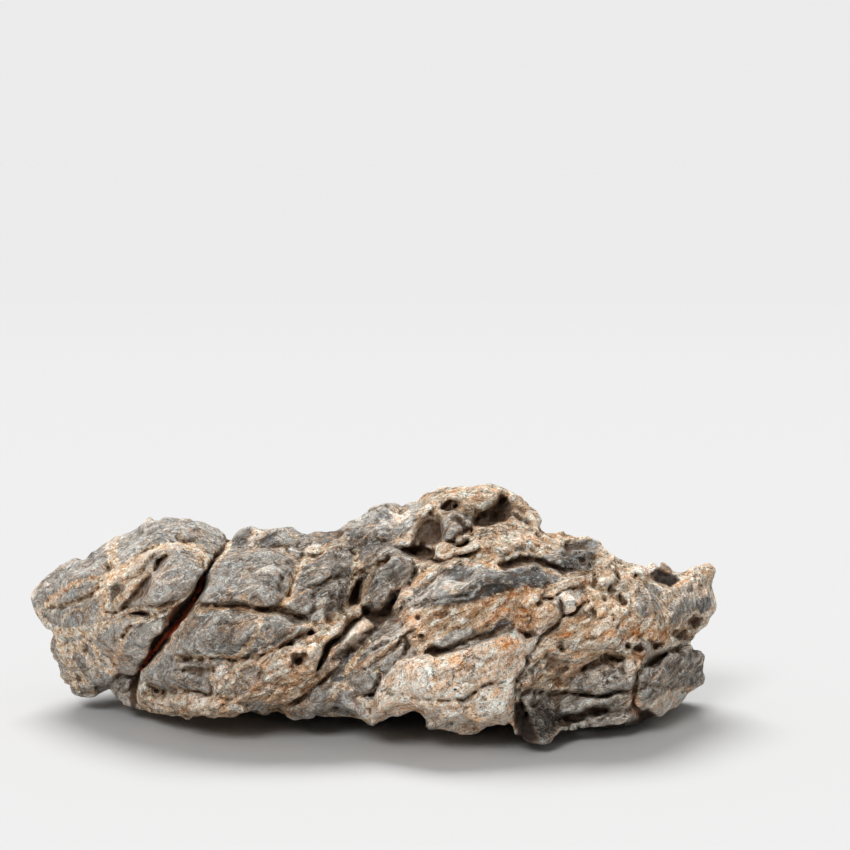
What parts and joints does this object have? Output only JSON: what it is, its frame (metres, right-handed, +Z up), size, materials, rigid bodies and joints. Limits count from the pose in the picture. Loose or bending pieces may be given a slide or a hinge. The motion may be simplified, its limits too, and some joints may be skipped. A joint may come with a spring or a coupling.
{
  "type": "dragon stone",
  "caption": "Long rough lump of veined grey and tan limestone, cracked and pitted, that rests on its worn underside as a landscape or aquarium stone.",
  "frame": {"origin": "on the ground under the middle of the stone's box", "axes": "+X along the stone's length, +Y away from its best face, +Z up"},
  "size_m": [0.2289, 0.1215, 0.0772],
  "materials": {
    "limestone": "dry weathered limestone: grey blocks, tan and cream crust, slate patches, rust veins, dark cracks"
  },
  "bodies": {
    "root": {"stone": "limestone"}
  },
  "joints": []
}
